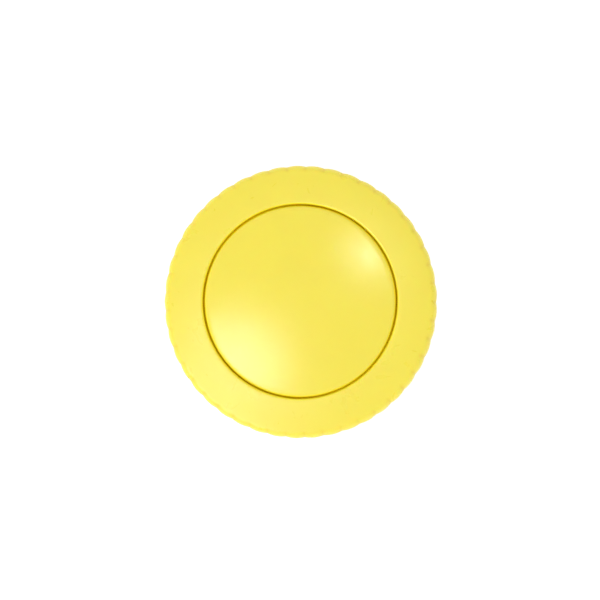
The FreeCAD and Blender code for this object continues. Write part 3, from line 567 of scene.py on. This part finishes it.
def moulded_yellow(name, tone, gloss, grain_depth_mm, gap=None):
    """Satin yellow resin. gap gives the distances from the axis between which a painted orange shade is
    laid, and also turns on the painted shade in the grip's valleys.
    """
    base = shaded(YELLOW, tone)
    material, tree, shader = new_material(
        name, base, gloss[0], Subsurface_Weight=LIGHT_SHARE, Subsurface_Scale=LIGHT_DEPTH_MM * MM,
        IOR=RESIN_IOR)
    shader.inputs["Subsurface Radius"].default_value = LIGHT_REACH
    cloud = noise(tree, 14.0, detail=4.0, distortion=0.4)
    tint = mixed(tree, spread(tree, cloud, 0.35, 0.65, 0.0, 1.0), shaded(base, 0.985), shaded(base, 1.01))
    if gap:
        # Painted shade: the walls of the gap are painted a deeper, nearly orange yellow for the light that
        # bounces in the slit.
        painted_gap_shade = spread(tree, axis_distance(tree), gap[0] * MM, gap[1] * MM, 0.0, 1.0)
        tint = mixed(tree, painted_gap_shade, tint, GAP_PAINTED_SHADE)
        # Painted shade: the valleys of the grip are painted a deeper yellow, weighted by the attribute that
        # the ring keeps.
        painted_valley_shade = tree.nodes.new("ShaderNodeAttribute")
        painted_valley_shade.attribute_name = "valley_shade"
        tint = mixed(tree, painted_valley_shade.outputs["Fac"], tint, VALLEY_PAINTED_SHADE)
    tree.links.new(tint, shader.inputs["Base Color"])
    rub = noise(tree, 5.0, detail=6.0, distortion=1.2)
    tree.links.new(spread(tree, rub, 0.35, 0.7, *gloss), shader.inputs["Roughness"])
    waves = bumped(tree, noise(tree, 9.0, detail=1.0), 0.05, 0.1)
    grain = bumped(tree, noise(tree, GRAIN_MM, detail=2.0), grain_depth_mm, 0.7, waves)
    tree.links.new(grain, shader.inputs["Normal"])
    return material


# Bands beside the gap on the ring and on the hatch, where the painted gap shade is laid.
ring_gap_shade = (lip_r + GAP_SHADE_MM, lip_r)
door_gap_shade = (door_face_r - GAP_SHADE_MM, door_face_r)
yellow_ring = moulded_yellow("yellow_ring_resin", 1.0, (0.27, 0.32), 0.007, gap=ring_gap_shade)
yellow_door = moulded_yellow("yellow_door_resin", 0.995, (0.15, 0.19), 0.014, gap=door_gap_shade)
yellow_case = moulded_yellow("yellow_case_resin", 0.97, (0.28, 0.34), 0.007)
print("yellow finishes ready")

# %% [markdown]
# Most other pieces need one of three families of finish. Moulded plastics and rubbers have a tone, a
# grain and a spread of gloss. Metals have a brushed or rolled grain that runs one way. Clear parts let
# light through. A function per family and a table of pieces is shorter than a section for each, and it
# keeps the differences in one place where they can be compared.

# %% Plastics, rubbers and metals
CLOUD_GRAINS = 30
RUB_GRAINS = 12
PATINA_GRAINS = 20


def moulded(name, color, gloss, grain_mm, grain_depth_mm, **sockets):
    """Opaque plastic, rubber, foam or ceramic. gloss is the lowest and highest roughness."""
    material, tree, shader = new_material(name, color, gloss[0], **sockets)
    cloud = noise(tree, CLOUD_GRAINS * grain_mm, detail=4.0)
    tint = mixed(tree, spread(tree, cloud, 0.3, 0.7, 0.0, 1.0), shaded(color, 0.9), shaded(color, 1.08))
    tree.links.new(tint, shader.inputs["Base Color"])
    rub = noise(tree, RUB_GRAINS * grain_mm, detail=5.0, distortion=0.8)
    tree.links.new(spread(tree, rub, 0.3, 0.7, *gloss), shader.inputs["Roughness"])
    grain = bumped(tree, noise(tree, grain_mm, detail=3.0), grain_depth_mm, 0.7)
    tree.links.new(grain, shader.inputs["Normal"])
    return material


def metal(name, color, gloss, grain_mm, stretch):
    """Turned, rolled or drawn metal whose grain is squeezed along an axis."""
    material, tree, shader = new_material(name, color, gloss[0], Metallic=1.0)
    lines = noise(tree, grain_mm, detail=4.0, stretch=stretch)
    tree.links.new(spread(tree, lines, 0.3, 0.7, *gloss), shader.inputs["Roughness"])
    patina = noise(tree, PATINA_GRAINS * grain_mm, detail=3.0)
    tint = mixed(tree, spread(tree, patina, 0.4, 0.75, 0.0, 1.0), color, shaded(color, 0.82))
    tree.links.new(tint, shader.inputs["Base Color"])
    tree.links.new(bumped(tree, lines, 0.004, 0.5), shader.inputs["Normal"])
    return material


def clear(name, color, roughness, ior, scratch_mm):
    """Clear plastic or glass with faint polishing marks."""
    material, tree, shader = new_material(name, color, roughness, Transmission_Weight=1.0, IOR=ior)
    marks = noise(tree, scratch_mm, detail=5.0, distortion=2.0)
    tree.links.new(spread(tree, marks, 0.5, 0.8, roughness, roughness + 0.06), shader.inputs["Roughness"])
    return material


print("families: moulded, metal, clear")

# %% [markdown]
# The names say what each piece is really made of. Rubbers and filled plastics are rough and nearly
# black, and a sealed diver's instrument has many of them. The metals differ in colour and polish:
# stainless for what touches sea water, plated steel for the cell, brass for the inserts that are
# pressed into the case. Gloss is a range, because no real surface is equally polished everywhere.

# %% Materials of the smaller pieces
EVEN = (1.0, 1.0, 1.0)
ROLLED = (1.0, 0.08, 1.0)
black_plastic = moulded("glass_filled_black", (0.014, 0.014, 0.015), (0.38, 0.55), 0.25, 0.012)
black_rubber = moulded("nitrile_rubber", (0.012, 0.012, 0.012), (0.5, 0.68), 0.15, 0.006)
button_black = moulded("button_plastic", (0.03, 0.031, 0.034), (0.42, 0.5), 0.2, 0.01)
chip_black = moulded("chip_resin", (0.02, 0.02, 0.021), (0.5, 0.6), 0.08, 0.004)
grey_plastic = moulded("grey_nylon", (0.19, 0.2, 0.2), (0.45, 0.55), 0.2, 0.008)
white_slip = moulded("slip_washer", (0.78, 0.78, 0.74), (0.35, 0.45), 0.3, 0.004)
grey_foam = moulded("closed_cell_foam", (0.07, 0.07, 0.072), (0.85, 0.95), 0.35, 0.08)
pink_elastomer = moulded("zebra_elastomer", (0.42, 0.2, 0.19), (0.5, 0.6), 0.1, 0.004)
cream_ceramic = moulded("ceramic", (0.74, 0.7, 0.6), (0.35, 0.5), 0.1, 0.003)
amber_film = moulded("flex_film", (0.42, 0.17, 0.03), (0.25, 0.35), 0.3, 0.003, Coat_Weight=0.3)
light_guide = moulded("light_guide", (0.82, 0.86, 0.83), (0.2, 0.3), 0.2, 0.003)
stainless = metal("stainless_steel", (0.62, 0.61, 0.59), (0.2, 0.36), 0.12, EVEN)
spring_steel = metal("spring_steel", (0.55, 0.54, 0.52), (0.22, 0.34), 0.1, ROLLED)
dark_steel = metal("blackened_steel", (0.16, 0.15, 0.15), (0.3, 0.45), 0.12, EVEN)
cell_steel = metal("nickel_plate", (0.66, 0.64, 0.6), (0.16, 0.3), 0.3, ROLLED)
brass = metal("brass", (0.78, 0.56, 0.24), (0.25, 0.4), 0.12, EVEN)
window_glass = clear("window", (0.97, 0.98, 0.98), 0.02, 1.49, 3.0)
print(len(bpy.data.materials), "materials so far")

# %% [markdown]
# Three finishes need a pattern of their own. The board is a green lacquer over copper tracks, drawn with
# a brick texture whose joints are the tracks. The display is a silvery grey-green polariser with a faint
# mottle. Its figures are the same film turned nearly black.

# %% Board and display
def circuit_board():
    """Green lacquer; the copper under it shows as lighter lines."""
    material, tree, shader = new_material("circuit_board", (0.01, 0.09, 0.035), 0.3, Coat_Weight=0.4)
    coords = tree.nodes.new("ShaderNodeTexCoord")
    bricks = tree.nodes.new("ShaderNodeTexBrick")
    bricks.inputs["Scale"].default_value = 1 / (4.0 * MM)
    bricks.inputs["Mortar Size"].default_value = 0.05
    bricks.inputs["Color1"].default_value = (0.008, 0.075, 0.028, 1)
    bricks.inputs["Color2"].default_value = (0.012, 0.1, 0.04, 1)
    bricks.inputs["Mortar"].default_value = (0.03, 0.2, 0.07, 1)
    tree.links.new(coords.outputs["Object"], bricks.inputs["Vector"])
    tree.links.new(bricks.outputs["Color"], shader.inputs["Base Color"])
    tree.links.new(bumped(tree, bricks.outputs[1], 0.03, 0.5), shader.inputs["Normal"])
    return material


def display_film(name, color, roughness):
    """Polariser film with a faint mottle."""
    material, tree, shader = new_material(name, color, roughness)
    mottle = noise(tree, 1.5, detail=4.0)
    tint = mixed(tree, spread(tree, mottle, 0.3, 0.7, 0.0, 1.0), shaded(color, 0.94), shaded(color, 1.05))
    tree.links.new(tint, shader.inputs["Base Color"])
    return material


board_green = circuit_board()
display_glass = display_film("display_polariser", (0.33, 0.37, 0.29), 0.3)
display_ink = display_film("display_figures", (0.02, 0.024, 0.03), 0.35)
print(len(bpy.data.materials), "materials with the board and the display")

# %% [markdown]
# Every CAD node that stays keeps its exact shape and only changes its finish. The table names the
# finish of each, in the order in which the pieces come off on a bench.

# %% Hand out the finishes
FINISHES = {
    yellow_case: ["main_case"],
    black_plastic: ["front_shell", "bezel_ring", "sensor_cover"],
    window_glass: ["display_window"],
    black_rubber: ["window_gasket", "case_o_ring", "door_o_ring", "sensor_o_ring", "stud_o_rings",
                   "button_o_ring_left", "button_o_ring_right"],
    stainless: ["case_screws", "crystal_can", "depth_sensor", "contact_studs",
                "button_clip_left", "button_clip_right"],
    spring_steel: ["keeper_ring", "negative_contact", "positive_contact",
                   "button_spring_left", "button_spring_right"],
    brass: ["screw_inserts", "buzzer_disc", "bulkhead_pins"],
    board_green: ["main_board"],
    chip_black: ["microcontroller"],
    display_glass: ["lcd_panel"],
    light_guide: ["lcd_backlight"],
    grey_plastic: ["lcd_frame", "battery_tray"],
    pink_elastomer: ["zebra_strips"],
    white_slip: ["glide_washer"],
    grey_foam: ["door_pad"],
    button_black: ["button_cap_left", "button_cap_right"],
    cell_steel: ["battery_cell"],
    cream_ceramic: ["board_capacitors"],
    amber_film: ["sensor_flex"],
    dark_steel: ["dome_switches", "board_screws", "tray_screws"],
}
for material, names in FINISHES.items():
    for name in names:
        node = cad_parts[name]
        node.data.materials.clear()
        node.data.materials.append(material)
for piece, material in (
        (locking_ring, yellow_ring), (battery_hatch, yellow_door), (lcd_digits, display_ink)):
    piece.data.materials.append(material)
covered = {name for names in FINISHES.values() for name in names} | {"locking_ring", "battery_door"}
print("nodes with no finish:", sorted(set(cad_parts) - covered))

# %% [markdown]
# A catalogue picture of such a flat object is taken from almost straight above, on a white light table.
# The camera leans a few degrees, so the top of the hatch sits slightly off the centre of the outline. A
# long lens from over half a metre keeps the outline nearly free of perspective. The camera's axes are
# set one by one, because a tracking rotation would also turn the picture when the view is so steep.

# %% Camera
camera_lean = math.radians(4.1)
lean_towards = Vector((0.79, -0.61, 0.0)).normalized()
aim_at = Vector((-0.1, 0.39, 24.5)) * MM
camera_distance = 0.6
view_width = 0.1494
sensor_width = 36.0
from_object = lean_towards * math.sin(camera_lean) + Vector((0, 0, math.cos(camera_lean)))
camera_data = bpy.data.cameras.new("camera")
camera = bpy.data.objects.new("camera", camera_data)
scene.collection.objects.link(camera)
camera.location = aim_at + from_object * camera_distance
to_right = Vector((0, 1, 0)).cross(from_object).normalized()
upwards = from_object.cross(to_right)
camera.rotation_euler = Matrix((to_right, upwards, from_object)).transposed().to_euler()
camera_data.sensor_width = sensor_width
camera_data.lens = sensor_width * camera_distance / view_width
scene.camera = camera
print("lens", round(camera_data.lens, 1), "mm")

# %% [markdown]
# A light table is a sheet of opal glass lit from below. Here it is one large flat face that is partly
# a grey that scatters light and partly a glow. Its own glow keeps the shadow under the edge of the ring
# faint, and the two together come out as plain white.

# %% Table
table_half_width = 3.0
table_bm = bmesh.new()
bmesh.ops.create_grid(table_bm, x_segments=1, y_segments=1, size=table_half_width)
table_mesh = bpy.data.meshes.new("table")
table_bm.to_mesh(table_mesh)
table_bm.free()
table = bpy.data.objects.new("table", table_mesh)
scene.collection.objects.link(table)
table_material, _, table_shader = new_material("light_table", (0.3, 0.3, 0.3), 0.9)
table_shader.inputs["Emission Color"].default_value = (1, 1, 1, 1)
table_shader.inputs["Emission Strength"].default_value = 0.9
table_mesh.materials.append(table_material)
print("table is", round(table.dimensions.x, 1), "m wide")

# %% [markdown]
# The light is soft and comes from everywhere. The sky is as white as the table at the horizon, so that
# the two run together, and dimmer overhead. Two lamps close to the camera's axis draw the highlights.
# A wide one gives the pale bloom on the lower left of the hatch. A small hard one gives the speckled
# glint at its upper right, where it meets the fine grain. A third, very broad and farther down, lifts
# whatever leans towards the lower left.

# %% Lamps
def disc_lamp(name, angle_deg, off_axis_deg, distance, size, power):
    """Round lamp aimed at the object, leaning off the vertical towards a direction on the table."""
    off_axis = math.radians(off_axis_deg)
    turn = math.radians(angle_deg)
    aim = Vector((
        math.sin(off_axis) * math.cos(turn), math.sin(off_axis) * math.sin(turn), math.cos(off_axis)))
    data = bpy.data.lights.new(name, "AREA")
    data.shape = "DISK"
    data.size = size
    data.energy = power
    lamp = bpy.data.objects.new(name, data)
    scene.collection.objects.link(lamp)
    lamp.location = aim_at + aim * distance
    lamp.rotation_euler = aim.to_track_quat("Z", "Y").to_euler()


disc_lamp("bloom", angle_deg=208, off_axis_deg=14.0, distance=1.3, size=0.3, power=1.4)
disc_lamp("glint", angle_deg=55, off_axis_deg=11.0, distance=1.3, size=0.03, power=0.3)
disc_lamp("overhead", angle_deg=225, off_axis_deg=40, distance=1.3, size=0.9, power=6.3)

# %% [markdown]
# The sky is a dome of light round the whole scene. A texture coordinate tells how high each direction
# points, and a map from that height to a strength makes the dome fade from the horizon upwards.

# %% Sky
horizon_height = 0.1
dim_height = 0.5
horizon_strength = 1.0
top_strength = 0.64
sky = bpy.data.worlds.new("sky")
scene.world = sky
sky.use_nodes = True
sky_tree = sky.node_tree
direction = sky_tree.nodes.new("ShaderNodeTexCoord")
parts = sky_tree.nodes.new("ShaderNodeSeparateXYZ")
sky_tree.links.new(direction.outputs["Generated"], parts.inputs["Vector"])
glow = spread(
    sky_tree, parts.outputs["Z"], horizon_height, dim_height, horizon_strength, top_strength)
sky_tree.links.new(glow, sky_tree.nodes["Background"].inputs["Strength"])
sky_tree.nodes["Background"].inputs["Color"].default_value = (1, 1, 1, 1)
print("sky strength from", horizon_strength, "to", top_strength)
